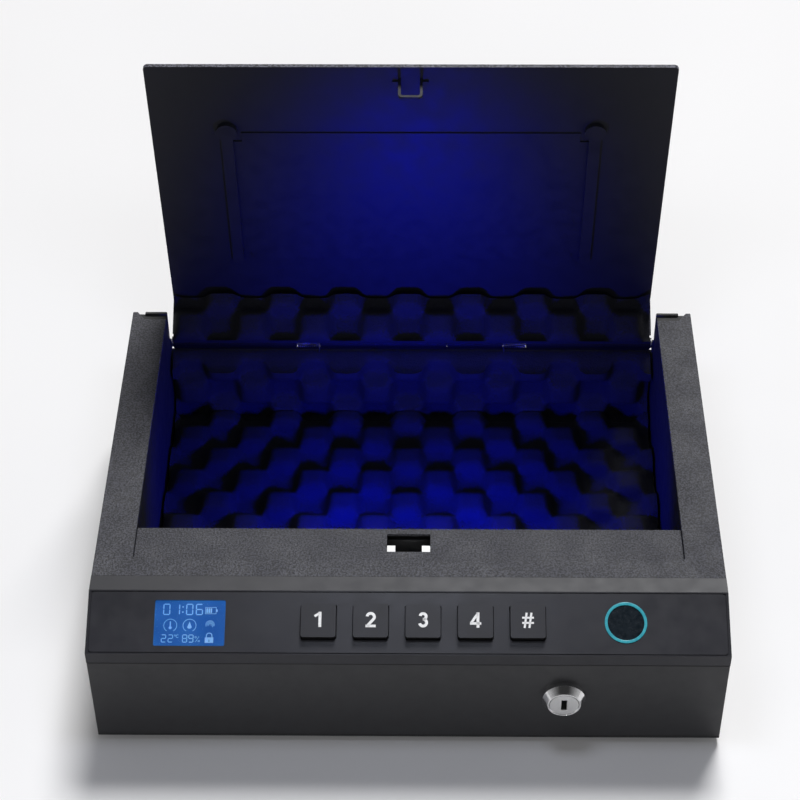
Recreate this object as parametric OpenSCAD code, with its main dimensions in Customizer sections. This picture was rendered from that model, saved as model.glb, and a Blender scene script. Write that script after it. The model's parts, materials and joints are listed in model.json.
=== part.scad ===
// Low desk-top pistol safe with a sprung lid, keypad, display, fingerprint reader and key override.
// Millimetres, +X right, +Y to the rear, +Z up. Origin: centre of the underside of the base pad.
// The lid is drawn open, at the stop it springs to. Depths marked "from front" start at the front face.

/* [Case] */
// Width of the case
case_w = 310; // [300:1:330]
// Depth of the case, front face to back face
case_d = 236; // [232:1:250]
// Height of the case above the surface it stands on, pad included
case_h = 79; // [79:1:82]
// Thickness of the rubber pad under the floor
pad_t = 3; // [2:0.5:4]
// Thickness of the sheet steel
sheet_t = 1.5; // [1.5:0.1:1.6]
// Width of each side rail
rail_w = 19; // [18:1:24]
// Height of the back wall's top edge
back_h = 52; // [44:1:52]

/* [Front] */
// Depth of the sloping control panel, from the front face
slope_d = 29.2; // [29:0.1:30]
// Height at the foot of the control panel
slope_z = 65.67; // [65:0.01:66]
// Height of the joint between the control panel and the front plate
lip_z = 59; // [58.5:0.1:59.5]
// Depth of the moulded control bezel, from the front face
bezel_d = 38.4; // [38:0.1:39]
// Wall of the moulded control bezel
bezel_t = 2.5; // [2:0.1:2.6]

/* [Keys] */
// Side of a square key
key_a = 16.8; // [16:0.1:18]
// Distance between key centres
key_pitch = 25.2; // [24:0.1:26]
// X of the middle key
key_x = 7.35; // [5:0.05:9]
// How far a key stands above the overlay
key_up = 3.2; // [1.6:0.1:3.6]
// Travel of a key
key_travel = 1.0; // [0.5:0.1:1.2]

/* [Display and sensor] */
// Width and height of the display window
window_w = 34.2; // [32:0.1:36]
window_h = 22.8; // [20:0.1:24]
// X of the display's centre
window_x = -105.3; // [-107:0.1:-103]
// Diameter of the fingerprint sensor's ring
sensor_dia = 20.4; // [19:0.1:21]
// X of the sensor's centre
sensor_x = 105; // [102:0.5:108]

/* [Key lock] */
// X of the lock's axis
lock_x = 76; // [74:1:78]
// Height of the lock's axis
lock_z = 36.2; // [36:0.1:37]
// Radius of the lock's escutcheon at the front plate
lock_r = 10.5; // [10:0.1:11]
// Radius of the lock's face
lock_face_r = 8.1; // [7.9:0.1:9]
// How far the lock stands out of the front plate
lock_out = 6.3; // [5.5:0.1:9]
// Length of the lock's straight rim, before the cone
lock_rim = 2.8; // [1:0.1:4]
// Radius of the turning plug
plug_r = 7; // [6.5:0.1:7.1]

/* [Latch] */
// Stroke of the latch bolt
bolt_stroke = 4.5; // [4:0.1:4.6]
// Radius of the crank on the back of the lock plug
crank_r = 9; // [8.6:0.1:9.4]

/* [Lid] */
// Angle the lid opens to
lid_open = 82.5; // [70:0.5:90]
// Height of the hinge pin
hinge_z = 56.4; // [56.2:0.1:56.6]
// Half the width of the lid
lid_half = 134.8; // [134:0.1:135]
// Distance of the closed lid's front edge from the front face
lid_front = 50; // [49.8:0.1:51]
// How far the striker stands out of the lid
striker_h = 14; // [13.6:0.1:14]
// How far the lip along the lid's front edge is turned down
lid_lip = 0.7; // [0.2:0.1:0.8]

/* [Hidden] */

$fn = 64;
eps = 0.01;
half_w = case_w / 2;
half_d = case_d / 2;
inner_half = half_w - rail_w;          // half the width between the rails
floor_z = pad_t + sheet_t;             // top of the floor pan
ledge_z = case_h - 2.5;                // top of the latch deck, which the closed lid covers
recess_d = 49.5;                       // front edge of the lid recess, from front
cavity_d = 73;                         // front of the storage space, from front
notch_w = 12.2;                        // notch at the rear of each rail top
notch_d = 6.2;
hinge_y = half_d + 0.7;
screw_head_t = 1.2;

// control panel slope
slope_a = atan((case_h - slope_z) / slope_d);
slope_l = norm([slope_d, case_h - slope_z]);
overlay_t = 0.5;
overlay_gap = 1.2;                     // border of bezel left showing round the overlay
overlay_groove = 0.4;                  // groove between the overlay and that border
lip_gap = 0.4;                         // shadow gap between the front plate and the bezel
key_gap = 0.45;                        // clearance round a key in its opening
key_s = 16.3;                          // key centres, measured up the slope
window_s = 15.6;
sensor_s = 16.7;
board_depth = 8.5;                     // circuit board, below the slope's surface
board_t = 1.6;
key_flange_t = 0.8;
key_names = ["key_1", "key_2", "key_3", "key_4", "key_hash"];

// latch
slot_half = 10.8;                      // half the width of the slot in the deck
slot_d0 = 57.5;
slot_d1 = 69.3;
strap_d = 58;                          // front of the closed striker, from front
strap_t = 1.4;
striker_half = 6.2;
bolt_half = 4;
bolt_z = 65.4;                         // underside of the bolt, just over the striker's crossbar
bolt_h = 5;
bolt_tip = 61.5;
carriage_d = 43.5;                     // front of the bolt's downward arm, from front
carriage_l = 6;
coil_z = 50;                           // axis of the solenoid
coil_d0 = 17;
coil_d1 = 37;
plunger_r = 3;
plate_z = 42;                          // underside of the transfer plate
bracket_t = 1.6;
plate_t = 2;
pin_r = 2;
slot_r = 2.3;
crank_x = crank_r * sin(45);
transfer_stroke = 2 * crank_x;
cam_d = 27;
cam_t = 2.3;
tab_d = 29.5;

// lid, drawn closed and then turned about the hinge
flange_a = 25.5;                       // lean of the closed lid's rear flange from upright
flange_in = [-cos(flange_a), -sin(flange_a)];
flange_up = [-sin(flange_a), cos(flange_a)];
leaf_half_t = 0.7;
lid_in = leaf_half_t + sheet_t;        // hinge plane to the flange's inner face
hinge_at = [hinge_y, hinge_z];
flange_l = (case_h - sheet_t - hinge_z + lid_in * sin(flange_a)) / cos(flange_a);
flange_out_l = (case_h - hinge_z + leaf_half_t * sin(flange_a)) / cos(flange_a);
flange_s0 = 4.2;                       // the flange stops short of the knuckles
knuckle_r = 3.2;
hinge_pin_r = 1.5;
bore_r = 1.55;
leaf_half = 134.3;
spring_x = 58;                         // middle of each torsion spring
spring_half = 6.55;                    // half the room between knuckles for a spring
knuckle_gap = 0.1;
middle_knuckle = 20;                   // the case's middle knuckle ends here
end_knuckle = 108;                     // and its end knuckles start here
case_knuckles = [[-leaf_half, -end_knuckle], [-middle_knuckle, middle_knuckle],
    [end_knuckle, leaf_half]];
lid_knuckles_right = [[middle_knuckle + knuckle_gap, spring_x - spring_half],
    [spring_x + spring_half, end_knuckle - knuckle_gap]];
lid_knuckles = concat(lid_knuckles_right, [for (k = lid_knuckles_right) [-k[1], -k[0]]]);
rivet_xs = [-120, -80, -40, 0, 40, 80, 120];
foam_t = 12;
foam_half = 134.5;
back_foam_t = 14.5;

battery_r = 7.2;
battery_l = 49.2;                      // with its positive cap
battery_cap = 1.2;
cover_t = 1.6;

// anchor holes, in the floor of the storage space
anchor_x = 100;
anchor_ys = [-15, 85];
anchor_r = 4;

function from_front(d) = d - half_d;
function on_flange(n, s) = hinge_at + n * flange_in + s * flange_up;
function polar(r, a) = r * [cos(a), sin(a)];

module block(x0, x1, d0, d1, z0, z1)
    translate([x0, from_front(d0), z0]) cube([x1 - x0, d1 - d0, z1 - z0]);

module both_sides() { children(); mirror([1, 0, 0]) children(); }

// A bar along X with the outline given as [y, z] points
module bar_x(points, x0, x1)
    translate([x0, 0, 0]) rotate([90, 0, 90]) linear_extrude(x1 - x0) polygon(points);

// A shaft or bore along X
module round_x(r, x0, x1, y, z)
    translate([x0, y, z]) rotate([0, 90, 0]) cylinder(r = r, h = x1 - x0);

// A shaft or bore along Y, from the front
module round_y(r, d0, d1, x, z)
    translate([x, from_front(d0), z]) rotate([-90, 0, 0]) cylinder(r = r, h = d1 - d0);

// A frame on the control panel: X right, Y up the slope, Z out of the panel
module on_slope(x, s, depth = 0)
    translate([0, from_front(0), slope_z]) rotate([slope_a, 0, 0]) translate([x, s, -depth])
        children();

module rounded_square(w, h, r) {
    square([w - 2 * r, h], center = true);
    square([w, h - 2 * r], center = true);
    for (x = [-1, 1], y = [-1, 1])
        translate([x * (w / 2 - r), y * (h / 2 - r)]) circle(r = r, $fn = 32);
}

module rounded_plate(w, h, r, t) linear_extrude(t) rounded_square(w, h, r);

module opened() translate([0, hinge_y, hinge_z]) rotate([-lid_open, 0, 0])
    translate([0, -hinge_y, -hinge_z]) children();

// A cross-slotted pan-head screw, its head on +Z and its shank down
module screw(head_r, shank_r, shank_l) {
    difference() {
        cylinder(r = head_r, h = screw_head_t);
        for (a = [0, 90]) rotate(a) translate([-head_r * 0.6, -0.3, screw_head_t - 0.6])
            cube([head_r * 1.2, 0.6, 1]);
    }
    translate([0, 0, -shank_l]) cylinder(r = shank_r, h = shank_l + eps);
}

// A round wire swept along points, as one closed skin
module wire(points, r, sides = 8) {
    n = len(points);
    function unit(v) = v / norm(v);
    function along(i) = unit(points[min(i + 1, n - 1)] - points[max(i - 1, 0)]);
    function across(i) = unit(cross(along(i), [0.13, 0.21, 0.97]));
    rings = [for (i = [0:n - 1]) let (u = across(i), v = cross(along(i), u))
        for (k = [0:sides - 1]) points[i] + r * (cos(360 * k / sides) * u + sin(360 * k / sides) * v)];
    walls = [for (i = [0:n - 2], k = [0:sides - 1]) let (a = i * sides, b = a + sides, j = (k + 1) % sides)
        each [[a + k, b + k, b + j], [a + k, b + j, a + j]]];
    ends = [[for (k = [0:sides - 1]) k], [for (k = [sides - 1:-1:0]) (n - 1) * sides + k]];
    polyhedron(points = rings, faces = concat(walls, ends));
}

// ---- case ----

module anchor_holes(r, z0, z1)
    for (x = [-anchor_x, anchor_x], y = anchor_ys) translate([x, y, z0]) cylinder(r = r, h = z1 - z0);

module base_pad() color("#0c0c0d") difference() {
    rounded_plate(case_w - 9, case_d - 9, 6, pad_t);
    anchor_holes(8, -1, pad_t + 1);
}

module floor_pan() color("#242528") difference() {
    block(-half_w, half_w, 0, case_d, pad_t, floor_z);
    anchor_holes(anchor_r, pad_t - 1, floor_z + 1);
}

module back_wall() color("#242528")
    block(-inner_half, inner_half, case_d - sheet_t, case_d, floor_z, back_h);

// Hollow rail: outer wall, web under the textured frame, inner wall and rear closure, which shows in the
// frame's notch and ends in a narrow flange beside the hinge
module side_shell() {
    top = case_h - sheet_t;
    block(half_w - sheet_t, half_w, bezel_d, case_d, floor_z, top);
    block(half_w - sheet_t, half_w, sheet_t, bezel_d + eps, floor_z, lip_z);
    block(inner_half, half_w - sheet_t + eps, recess_d, case_d, top - sheet_t, top);
    block(inner_half, inner_half + sheet_t, cavity_d, case_d, floor_z, top - sheet_t + eps);
    block(inner_half, half_w - sheet_t + eps, case_d - sheet_t, case_d, floor_z, top - eps);
    block(inner_half, inner_half + notch_w, case_d - sheet_t, case_d, top - 2 * eps, case_h);
    block(inner_half - 0.8, inner_half + eps, case_d - sheet_t, case_d, back_h, hinge_z + knuckle_r);
}

module left_side_shell() color("#242528") mirror([1, 0, 0]) side_shell();
module right_side_shell() color("#242528") side_shell();

// Textured frame: both rail tops and the strip in front of the lid, stepped down to the deck
module top_frame() color("#4a4b4f") {
    corner_r = 3;
    difference() {
        block(-half_w, half_w, bezel_d, case_d, case_h - sheet_t, case_h);
        block(-inner_half, inner_half, recess_d + corner_r, case_d + 1, case_h - 5, case_h + 1);
        block(-inner_half + corner_r, inner_half - corner_r, recess_d, recess_d + corner_r + 1,
            case_h - 5, case_h + 1);
        both_sides() {
            translate([inner_half - corner_r, from_front(recess_d + corner_r), case_h - 5])
                cylinder(r = corner_r, h = 6);
            translate([inner_half, half_d, case_h - 5]) linear_extrude(6)
                polygon([[-1, -notch_d], [notch_w, -notch_d], [notch_w + 5, 1], [-1, 1]]);
        }
    }
    block(-inner_half + corner_r, inner_half - corner_r, recess_d - sheet_t, recess_d,
        ledge_z - sheet_t, case_h - sheet_t + eps);
}

module latch_deck() color("#4a4b4f") difference() {
    block(-inner_half, inner_half, recess_d, cavity_d, ledge_z - sheet_t, ledge_z);
    block(-slot_half, slot_half, slot_d0, slot_d1, ledge_z - 3, ledge_z + 1);
}

// Steel wall between the electronics and the storage space
module compartment_wall() color("#1c1d20") difference() {
    block(-inner_half, inner_half, cavity_d - sheet_t, cavity_d, floor_z, ledge_z - sheet_t);
    block(-128, -22, cavity_d - 3, cavity_d + 1, 22, 56);
    block(-30, 30, cavity_d - 3, cavity_d + 1, 62.5, 71.5);
    cover_screw_positions() cylinder(r = 1, h = 12, center = true);
    bracket_screw_positions() cylinder(r = 1.6, h = 12, center = true);
}

module front_plate() color("#2b2c30") difference() {
    block(-half_w, half_w, 0, sheet_t, floor_z, lip_z - lip_gap);
    round_y(9.45, -1, sheet_t + 1, lock_x, lock_z);
}

// ---- control panel ----

module key_positions() for (i = [0:4]) on_slope(key_x + (i - 2) * key_pitch, key_s) children();

module bezel_skin(inset) {
    t = inset;
    polygon([[from_front(t), lip_z + (t > 0 ? -1 : 0)],
        [from_front(t), slope_z - t * tan(45 - slope_a / 2)],
        [from_front(slope_d + t * tan(slope_a / 2)), case_h - t],
        [from_front(bezel_d + (t > 0 ? 1 : 0)), case_h - t],
        [from_front(bezel_d + (t > 0 ? 1 : 0)), lip_z + (t > 0 ? -1 : 0)]]);
}

// Moulded panel: flat strip, slope, lip and an end cheek on each side
module control_bezel() color("#26272b") difference() {
    union() {
        difference() {
            translate([-half_w, 0, 0]) rotate([90, 0, 90]) linear_extrude(case_w) bezel_skin(0);
            translate([-half_w + bezel_t, 0, 0]) rotate([90, 0, 90])
                linear_extrude(case_w - 2 * bezel_t) bezel_skin(bezel_t);
        }
        board_screw_positions() cylinder(r = 2.2, h = board_depth - bezel_t + 0.2);
    }
    board_screw_positions() translate([0, 0, -1]) cylinder(r = 1.3, h = board_depth - bezel_t + 1);
    on_slope(0, slope_l / 2, overlay_t)
        rounded_plate(case_w - 2 * overlay_gap, slope_l - overlay_gap, 0.5, 2);
    key_positions() translate([0, 0, -5])
        rounded_plate(key_a + 2 * key_gap, key_a + 2 * key_gap, 1.4, 8);
    on_slope(window_x, window_s, 5) rounded_plate(window_w + 0.1, window_h + 0.1, 0.75, 8);
    on_slope(sensor_x, sensor_s, 5) cylinder(r = sensor_dia / 2 - 0.8, h = 8);
}

module panel_overlay() color("#2e2f34") difference() {
    on_slope(0, slope_l / 2, overlay_t)
        rounded_plate(case_w - 2 * overlay_gap - 2 * overlay_groove,
            slope_l - overlay_gap - 2 * overlay_groove, 2 - overlay_groove, overlay_t);
    key_positions() translate([0, 0, -2])
        rounded_plate(key_a + 2 * key_gap, key_a + 2 * key_gap, 1.4, 4);
    on_slope(window_x, window_s, 2) rounded_plate(window_w + 0.1, window_h + 0.1, 0.8, 4);
    on_slope(sensor_x, sensor_s, 2) cylinder(r = sensor_dia / 2 + 0.05, h = 4);
}

module display_window() color([0.2, 0.35, 0.8, 0.6]) on_slope(window_x, window_s, overlay_t)
    rounded_plate(window_w, window_h, 0.7, overlay_t);

// Lit face in the bezel's opening, the body behind it and the connector strip on the board
module display_module() color("#3f57c0") {
    behind = bezel_t + 0.2;
    on_slope(window_x, window_s, behind + eps)
        rounded_plate(window_w - 0.1, window_h - 0.1, 0.7, behind - overlay_t - 0.05);
    on_slope(window_x, window_s, behind + 3) rounded_plate(window_w + 3, window_h + 1, 0.8, 3);
    on_slope(window_x, window_s, board_depth) rounded_plate(window_w - 4, 8, 0.5, 3);
}

// Square cap, retaining flange under the bezel and a stem down to the rubber mat
module key_cap(i) color("#2b2c30") on_slope(key_x + (i - 2) * key_pitch, key_s) {
    translate([0, 0, -bezel_t - key_flange_t - 0.05]) {
        translate([0, 0, key_flange_t - eps])
            rounded_plate(key_a, key_a, 1.2, bezel_t + key_up + 0.05);
        rounded_plate(key_a + 2.4, key_a + 2.4, 1.2, key_flange_t);
    }
    translate([0, 0, -5]) cylinder(r = 2, h = 5 - bezel_t - key_flange_t);
}

// Silicone mat with one spring dome under each key
module keypad_mat() color("#55565a") {
    mat_t = 0.8;
    on_slope(key_x, key_s, board_depth) rounded_plate(4 * key_pitch + 22, 20, 2, mat_t);
    key_positions() translate([0, 0, -board_depth + mat_t - eps])
        cylinder(r1 = 5, r2 = 2.6, h = board_depth - mat_t - 5 + eps);
}

module main_board() color("#1f5b33") difference() {
    on_slope(-8, 16, board_depth + board_t) rounded_plate(244, 27, 1, board_t);
    board_screw_positions() translate([0, 0, -5]) cylinder(r = 1.3, h = 8);
}

module board_screw_positions() for (p = [[-127, 27], [-127, 5], [-64, 16], [82, 16]])
    on_slope(p[0], p[1], board_depth) children();

module board_screws() color("#9a9ca0") board_screw_positions() {
    cylinder(r = 1.25, h = board_depth - bezel_t - 0.1);
    translate([0, 0, -board_t - 0.05]) mirror([0, 0, 1]) screw(2.4, 1.2, board_t + 0.3);
}

// Controller, buzzer, regulator and connectors on the underside of the board
module board_components() color("#17181a") {
    under = board_depth + board_t;
    on_slope(-40, 15, under + 1.2) rounded_plate(12, 12, 0.5, 1.2);
    on_slope(-78, 15, under + 1) rounded_plate(10, 6, 0.3, 1);
    on_slope(58, 15, under + 6) cylinder(r = 6, h = 6);
    for (x = [22, 36]) on_slope(x, 10, under + 4) rounded_plate(9, 5, 0.3, 4);
}

module sensor_ring() color("#4a4c52") on_slope(sensor_x, sensor_s) difference() {
    translate([0, 0, -overlay_t]) cylinder(r = sensor_dia / 2, h = overlay_t + 0.5);
    translate([0, 0, -3]) cylinder(r = sensor_dia / 2 - 1.35, h = 6);
}

module fingerprint_sensor() color("#101114") on_slope(sensor_x, sensor_s) {
    translate([0, 0, -bezel_t - 2]) cylinder(r = sensor_dia / 2 - 1.4, h = bezel_t + 2 - 0.1);
}

module sensor_board() color("#1f5b33")
    on_slope(sensor_x, sensor_s, bezel_t + 3.3) rounded_plate(20, 20, 1, 1.2);

// ---- key lock ----

module lock_barrel() color("#c9cacd") difference() {
    union() {
        round_y(9.4, -eps, 26, lock_x, lock_z);
        round_y(lock_r, -lock_rim, 0, lock_x, lock_z);
        translate([lock_x, from_front(-lock_out), lock_z]) rotate([-90, 0, 0])
            cylinder(r1 = lock_face_r, r2 = lock_r, h = lock_out - lock_rim + eps);
    }
    round_y(plug_r + 0.05, -lock_out - 1, 27, lock_x, lock_z);
    translate([lock_x, from_front(-lock_out - eps), lock_z]) rotate([-90, 0, 0])
        cylinder(r1 = plug_r + 0.5, r2 = plug_r, h = 0.5);
}

module lock_nut() color("#b5b6b8") difference() {
    translate([lock_x, from_front(sheet_t), lock_z]) rotate([-90, 0, 0])
        cylinder(r = 13.4, h = 4, $fn = 6);
    round_y(9.42, 0, 8, lock_x, lock_z);
}

// Plug with its keyway, which the cam is screwed to
module lock_plug() color("#a9abae") difference() {
    keyway = [1.4, 3.6];
    round_y(plug_r, -lock_out + 0.1, cam_d, lock_x, lock_z);
    block(lock_x - keyway[0], lock_x + keyway[0], -lock_out - 1, 16, lock_z - keyway[1],
        lock_z + keyway[1]);
    round_y(1.6, 18, 28, lock_x, lock_z);
}

module lock_cam() color("#8f9194") {
    at_crank = [lock_x - crank_x, lock_z + crank_x];
    difference() {
        union() {
            round_y(6.5, cam_d, cam_d + cam_t, lock_x, lock_z);
            round_y(2.8, cam_d, cam_d + cam_t, at_crank[0], at_crank[1]);
            translate([lock_x, from_front(cam_d), lock_z]) rotate([0, -45, 0])
                translate([-2.8, 0, 0]) cube([5.6, cam_t, crank_r]);
        }
        round_y(1.7, cam_d - 1, cam_d + 5, lock_x, lock_z);
    }
    round_y(1.5, cam_d + cam_t - eps, tab_d + 1.9, at_crank[0], at_crank[1]);
}

module cam_screw() color("#75777a")
    translate([lock_x, from_front(cam_d + cam_t), lock_z]) rotate([-90, 0, 0]) screw(3.2, 1.5, 8);

// ---- latch ----

// Flat plate that turns the crank's swing into the bolt's stroke through a slanting slot
module transfer_plate() color("#a4a6aa") {
    carriage_mid = carriage_d + carriage_l / 2;
    fork_x = lock_x - crank_x;
    difference() {
        union() {
            block(-19, fork_x + 6, carriage_d - 6, 56, plate_z, plate_z + plate_t);
            block(fork_x - 6, fork_x + 6, tab_d, carriage_d, plate_z, plate_z + plate_t);
            block(fork_x - 6, fork_x + 6, tab_d, tab_d + 2, lock_z + 3.6, lock_z + crank_r + 5);
        }
        linear_slot([0, carriage_mid], [-transfer_stroke, carriage_mid - bolt_stroke]);
        for (x = [26, 54]) linear_slot([x, 52], [x - transfer_stroke, 52]);
        block(fork_x - 2, fork_x + 2, tab_d - 1, tab_d + 3, lock_z + 4.4, lock_z + crank_r + 2.5);
    }
}

// A round-ended slot through the transfer plate between two [x, depth] points
module linear_slot(a, b) {
    span = b - a;
    for (p = [a, b]) translate([p[0], from_front(p[1]), plate_z - 1])
        cylinder(r = slot_r, h = plate_t + 2);
    translate([a[0], from_front(a[1]), plate_z - 1]) rotate(atan2(span[1], span[0]))
        translate([0, -slot_r, 0]) cube([norm(span), 2 * slot_r, plate_t + 2]);
}

module guide_studs() color("#8f9194") for (x = [26, 54]) translate([x, from_front(52), 0]) {
    translate([0, 0, plate_z - 1]) cylinder(r = 2, h = plate_t + 1.3);
    translate([0, 0, plate_z + plate_t + 0.3]) cylinder(r = 3.6, h = 1.2);
}

// Steel bracket that carries the solenoid, the transfer plate and the guide
module latch_bracket() color("#a4a6aa") difference() {
    top = plate_z - 1;
    back = cavity_d - sheet_t;
    union() {
        block(-20, 96, carriage_d - 4, back, top - bracket_t, top);
        block(-9, 9, coil_d0, carriage_d, top - bracket_t, top);
        for (x = [-20, 76]) block(x, x + 20, back - bracket_t, back, top - bracket_t, 58);
    }
    bracket_screw_positions() cylinder(r = 1.6, h = 12, center = true);
}

module bracket_screw_positions() for (x = [-14, 86])
    translate([x, from_front(cavity_d - sheet_t - bracket_t), 52]) rotate([90, 0, 0]) children();

module bracket_screws() color("#9a9ca0") bracket_screw_positions() screw(3, 1.5, 2.6);

// White moulding that steers the striker and carries the bolt
module latch_guide() color("#e9e9ea") difference() {
    union() {
        block(-slot_half + 0.1, slot_half - 0.1, 50.7, 62, 60, ledge_z - sheet_t);
        block(-slot_half + 0.1, slot_half - 0.1, slot_d0 + 0.1, 62, 60, ledge_z - 0.5);
    }
    block(-striker_half - 0.4, striker_half + 0.4, slot_d0, 63, 61.5, ledge_z + 1);
    block(-bolt_half - 0.1, bolt_half + 0.1, 50, 63, bolt_z - 0.1, bolt_z + bolt_h + 0.1);
}

module latch_bolt() color("#b9bbbe") {
    nose = [[from_front(carriage_d), bolt_z], [from_front(bolt_tip), bolt_z],
        [from_front(bolt_tip), bolt_z + 1.2], [from_front(57.3), bolt_z + bolt_h],
        [from_front(carriage_d), bolt_z + bolt_h]];
    bar_x(nose, -bolt_half, bolt_half);
    block(-bolt_half, bolt_half, carriage_d, carriage_d + carriage_l, plate_z + plate_t + 0.6,
        bolt_z + eps);
    translate([0, from_front(carriage_d + carriage_l / 2), plate_z - 0.4])
        cylinder(r = pin_r, h = plate_t + 1.2);
}

module solenoid_plunger() color("#c3c5c8")
    round_y(plunger_r, coil_d0 + 6.5, carriage_d, 0, coil_z);

function spring_points(d0, d1, turns, r) = [for (i = [0:turns * 14]) let (a = i * 360 / 14)
    [r * cos(a), from_front(d0 + (d1 - d0) * i / (turns * 14)), coil_z + r * sin(a)]];

module bolt_spring() color("#d2d3d5")
    wire(spring_points(coil_d1 + 0.5, carriage_d - 0.5, 4, 4.1), 0.4, 6);

module solenoid_frame() color("#9fa1a5") difference() {
    block(-8, 8, coil_d0, coil_d1, coil_z - 9, coil_z + 9);
    block(-9, 9, coil_d0 + 1.5, coil_d1 - 1.5, coil_z - 7.5, coil_z + 7.5);
    round_y(plunger_r + 0.3, coil_d1 - 3, coil_d1 + 1, 0, coil_z);
}

module solenoid_coil() color("#b5552a") difference() {
    round_y(7.4, coil_d0 + 1.6, coil_d1 - 1.6, 0, coil_z);
    round_y(plunger_r + 0.06, coil_d0 + 1.9, coil_d1, 0, coil_z);
}

// ---- power and light ----

module battery_box() color("#1b1c1e") difference() {
    block(-126, -24, 54.5, cavity_d - sheet_t, 23, 55);
    block(-124.5, -25.5, 56, cavity_d, 24.4, 53.6);
}

// Four AA cells, two high and two end to end
module batteries() color("#3a6a45") for (x = [-124.3, -74.9], z = [31.7, 46.3]) {
    round_x(battery_r, x, x + battery_l - battery_cap, from_front(63.6), z);
    round_x(2.6, x + battery_l - battery_cap - eps, x + battery_l, from_front(63.6), z);
}

module battery_cover() color("#1f2023") difference() {
    union() {
        block(-132, -18, cavity_d, cavity_d + cover_t, 20, 58);
        block(-127.5, -22.5, cavity_d - 1.4, cavity_d + eps, 22.5, 55.5);
    }
    cover_screw_positions() cylinder(r = 1, h = 12, center = true);
}

module cover_screw_positions() for (x = [-129.8, -20.2])
    translate([x, from_front(cavity_d + cover_t), 39]) rotate([-90, 0, 0]) children();

module battery_cover_screws() color("#9a9ca0") cover_screw_positions() screw(1.8, 0.9, 2.8);

// Blue lens of the light under the rear edge of the deck
module interior_light() color("#2f49ff")
    block(-29.8, 29.8, cavity_d - 1.4, cavity_d + 0.8, 62.7, 71.3);

module light_housing() color("#1b1c1e")
    block(-32, 32, cavity_d - sheet_t - 2.5, cavity_d - sheet_t, 61.5, 72.5);

// ---- foam ----

module floor_foam() color("#101012")
    block(-foam_half, foam_half, cavity_d + 2, case_d - sheet_t - back_foam_t - 0.5, floor_z, 19);

// Foam on the back wall, sloped at the top to let the closed lid's foam in
module back_foam() color("#101012") difference() {
    rear = half_d - sheet_t;
    bar_x([[rear - back_foam_t, floor_z + 0.2], [rear, floor_z + 0.2], [rear, back_h],
        [rear - 0.7, back_h], [rear - 10.3, back_h - 4.5], [rear - back_foam_t, back_h - 4.5]],
        -foam_half, foam_half);
    both_sides() block(spring_x - 7.5, spring_x - 4.5, case_d - 4, case_d, back_h - 9, back_h + 1);
}

// ---- lid ----

module lid_panel() color("#26272b") opened() {
    front = from_front(lid_front);
    corner_r = 2.5;
    under = case_h - sheet_t;
    profile = [on_flange(lid_in, flange_s0), on_flange(lid_in, flange_l),
        [front + sheet_t, under], [front + sheet_t, under - lid_lip], [front, under - lid_lip],
        [front, case_h], on_flange(leaf_half_t, flange_out_l), on_flange(leaf_half_t, flange_s0)];
    intersection() {
        bar_x(profile, -lid_half, lid_half);
        translate([0, (front + case_d) / 2, 0])
            rounded_plate(2 * lid_half, case_d - front, corner_r, 2 * case_h);
    }
}

// Welded stiffening plate with a raised bead along each side
module lid_stiffener() color("#26272b") opened() {
    plate_half = 88;
    plate_d = lid_front + 45.2;
    bead_x = 95.5;
    bead_r = 3.1;
    bead_h = 2.2;
    bead_d0 = lid_front + 43.7;
    bead_d1 = lid_front + 139.5;
    face = case_h - sheet_t;
    block(-plate_half, plate_half, plate_d, bead_d1, face - 0.8, face);
    both_sides() translate([bead_x, 0, face - bead_h]) {
        translate([-bead_r, from_front(bead_d0), 0]) cube([2 * bead_r, bead_d1 - bead_d0, bead_h]);
        for (d = [bead_d0, bead_d1]) translate([0, from_front(d), 0]) cylinder(r = bead_r, h = bead_h);
        translate([0, from_front(bead_d0), -0.6]) cylinder(r = bead_r + 2.4, h = bead_h + 0.6);
    }
    both_sides() block(plate_half - eps, bead_x, plate_d + 6, bead_d1 - 5, face - 0.8, face);
}

// Steel loop that drops into the slot; the bolt passes through it
module lid_striker() color("#85878b") opened() {
    low = case_h - sheet_t - striker_h;
    difference() {
        translate([0, from_front(strap_d), low + striker_h / 2 + 1.5]) rotate([-90, 0, 0])
            rounded_plate(2 * striker_half, striker_h + 3, 2.4, strap_t);
        translate([0, from_front(strap_d) - 1, low + striker_h / 2 + 3]) rotate([-90, 0, 0])
            rounded_plate(2 * striker_half - 2.8, striker_h + 3, 1.2, strap_t + 2);
        block(-10, 10, strap_d - 2, strap_d + 4, case_h - sheet_t, case_h + 5);
    }
    both_sides() block(striker_half - 1.4, striker_half + 3, strap_d + strap_t - 0.01,
        strap_d + 7, case_h - sheet_t - 1.2, case_h - sheet_t);
    both_sides() block(striker_half - 1.4, striker_half, strap_d, strap_d + strap_t,
        case_h - sheet_t - 1.2, case_h - sheet_t);
}

// Foam on the flange, carried down past the knuckles, with a slot for the leg of each hinge spring
module lid_foam() color("#101012") opened() difference() {
    past = knuckle_r + 0.5;
    bar_x([on_flange(lid_in, flange_s0), on_flange(lid_in, flange_l - 0.3),
        on_flange(lid_in + foam_t, flange_l - 0.3), on_flange(lid_in + foam_t, -2),
        on_flange(past, -2), on_flange(past, flange_s0)], -foam_half + 1, foam_half - 1);
    both_sides() bar_x([on_flange(lid_in - 1, 0), on_flange(lid_in - 1, 13),
        on_flange(lid_in + 2, 13), on_flange(lid_in + 2, 0)], spring_x + 4.5, spring_x + 7.5);
}

// ---- hinge ----

module knuckles(spans) for (k = spans) round_x(knuckle_r, k[0], k[1], hinge_y, hinge_z);

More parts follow.
